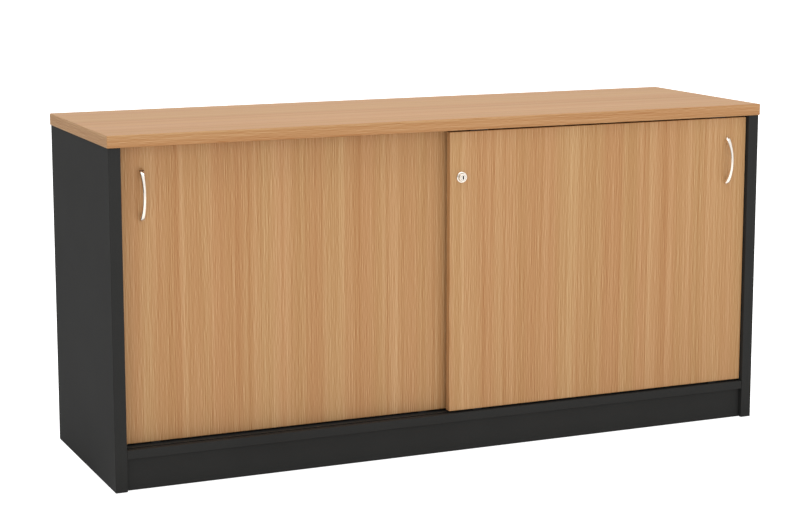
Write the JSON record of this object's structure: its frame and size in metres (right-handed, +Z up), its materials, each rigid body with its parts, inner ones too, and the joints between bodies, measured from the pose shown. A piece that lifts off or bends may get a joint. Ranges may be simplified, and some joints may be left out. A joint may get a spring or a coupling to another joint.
{
  "type": "office credenza",
  "caption": "Low office credenza with a wood-look worktop, two lockable sliding doors on rollers, a centre divider and loose shelves in a charcoal carcass.",
  "frame": {"origin": "on the floor, under the middle of the outline (worktop plus the handle that stands out in front of it)", "axes": "+X to the right seen from the front, +Y to the back, +Z up"},
  "size_m": [1.5, 0.464, 0.72],
  "materials": {
    "beech_laminate": "satin",
    "charcoal_laminate": "matte",
    "black_plastic": "matte",
    "grey_nylon": "satin",
    "satin_chrome": "satin",
    "zinc_steel": "satin"
  },
  "bodies": {
    "carcass": {"top_panel": "beech_laminate", "left_side_panel": "charcoal_laminate", "right_side_panel": "charcoal_laminate", "base_panel": "charcoal_laminate", "back_panel": "charcoal_laminate", "centre_divider": "charcoal_laminate", "front_kick": "charcoal_laminate", "rear_kick": "charcoal_laminate", "top_track_front": "black_plastic", "top_track_rear": "black_plastic", "bottom_track_front": "black_plastic", "bottom_track_rear": "black_plastic", "left_shelf_pin_outer_front": "zinc_steel", "left_shelf_pin_outer_back": "zinc_steel", "left_shelf_pin_inner_front": "zinc_steel", "left_shelf_pin_inner_back": "zinc_steel", "right_shelf_pin_outer_front": "zinc_steel", "right_shelf_pin_outer_back": "zinc_steel", "right_shelf_pin_inner_front": "zinc_steel", "right_shelf_pin_inner_back": "zinc_steel", "left_cam_front": "zinc_steel", "left_cam_back": "zinc_steel", "right_cam_front": "zinc_steel", "right_cam_back": "zinc_steel", "left_cam_bolt_front": "zinc_steel", "left_cam_bolt_back": "zinc_steel", "right_cam_bolt_front": "zinc_steel", "right_cam_bolt_back": "zinc_steel", "left_glide_front": "black_plastic", "left_glide_back": "black_plastic", "right_glide_front": "black_plastic", "right_glide_back": "black_plastic"},
    "left_door": {"left_door": "beech_laminate", "left_door_roller_housing_left": "black_plastic", "left_door_roller_housing_right": "black_plastic", "left_door_guide_left": "black_plastic", "left_door_guide_right": "black_plastic", "left_door_handle": "satin_chrome", "left_door_handle_screw_lower": "zinc_steel", "left_door_handle_screw_upper": "zinc_steel"},
    "right_door": {"right_door": "beech_laminate", "right_door_roller_housing_left": "black_plastic", "right_door_roller_housing_right": "black_plastic", "right_door_guide_left": "black_plastic", "right_door_guide_right": "black_plastic", "right_door_handle": "satin_chrome", "right_door_handle_screw_lower": "zinc_steel", "right_door_handle_screw_upper": "zinc_steel", "lock_housing": "satin_chrome", "lock_nut": "zinc_steel", "lock_spring": "zinc_steel"},
    "left_door_roller_left": {"left_door_roller_left": "grey_nylon"},
    "left_door_roller_right": {"left_door_roller_right": "grey_nylon"},
    "right_door_roller_left": {"right_door_roller_left": "grey_nylon"},
    "right_door_roller_right": {"right_door_roller_right": "grey_nylon"},
    "lock_barrel": {"lock_barrel": "satin_chrome"},
    "lock_plug": {"lock_plug": "satin_chrome"},
    "left_shelf": {"left_shelf": "charcoal_laminate"},
    "right_shelf": {"right_shelf": "charcoal_laminate"}
  },
  "joints": [
    {"name": "left_door_slide", "type": "slide", "parent": "carcass", "child": "left_door", "axis": [1, 0, 0], "range_m": [0, 0.65]},
    {"name": "right_door_slide", "type": "slide", "parent": "carcass", "child": "right_door", "axis": [1, 0, 0], "range_m": [-0.65, 0]},
    {"name": "left_door_roller_left_spin", "type": "hinge", "parent": "left_door", "child": "left_door_roller_left", "pos_m": [-0.651, -0.1725, 0.0965], "axis": [0, 1, 0], "continuous": true},
    {"name": "left_door_roller_right_spin", "type": "hinge", "parent": "left_door", "child": "left_door_roller_right", "pos_m": [-0.0595, -0.1725, 0.0965], "axis": [0, 1, 0], "continuous": true},
    {"name": "right_door_roller_left_spin", "type": "hinge", "parent": "right_door", "child": "right_door_roller_left", "pos_m": [0.0595, -0.1985, 0.0965], "axis": [0, 1, 0], "continuous": true},
    {"name": "right_door_roller_right_spin", "type": "hinge", "parent": "right_door", "child": "right_door_roller_right", "pos_m": [0.651, -0.1985, 0.0965], "axis": [0, 1, 0], "continuous": true},
    {"name": "lock_push", "type": "slide", "parent": "right_door", "child": "lock_barrel", "axis": [0, 1, 0], "range_m": [0, 0.0055], "stiffness_N_per_m": 600, "springref_m": -0.002, "deforming": ["lock_spring"]},
    {"name": "key_turn", "type": "hinge", "parent": "lock_barrel", "child": "lock_plug", "pos_m": [0.017, -0.2145, 0.5945], "axis": [0, 1, 0], "range_deg": [0, 90]},
    {"name": "left_shelf_lift", "type": "slide", "parent": "carcass", "child": "left_shelf", "axis": [0, 0, 1], "range_m": [0, 0.032]},
    {"name": "right_shelf_lift", "type": "slide", "parent": "carcass", "child": "right_shelf", "axis": [0, 0, 1], "range_m": [0, 0.032]}
  ],
  "couplings": [
    {"joint": "left_door_roller_left_spin", "follows": "left_door_slide", "rad_per_m": 76.923},
    {"joint": "left_door_roller_right_spin", "follows": "left_door_slide", "rad_per_m": 76.923},
    {"joint": "right_door_roller_left_spin", "follows": "right_door_slide", "rad_per_m": 76.923},
    {"joint": "right_door_roller_right_spin", "follows": "right_door_slide", "rad_per_m": 76.923}
  ]
}
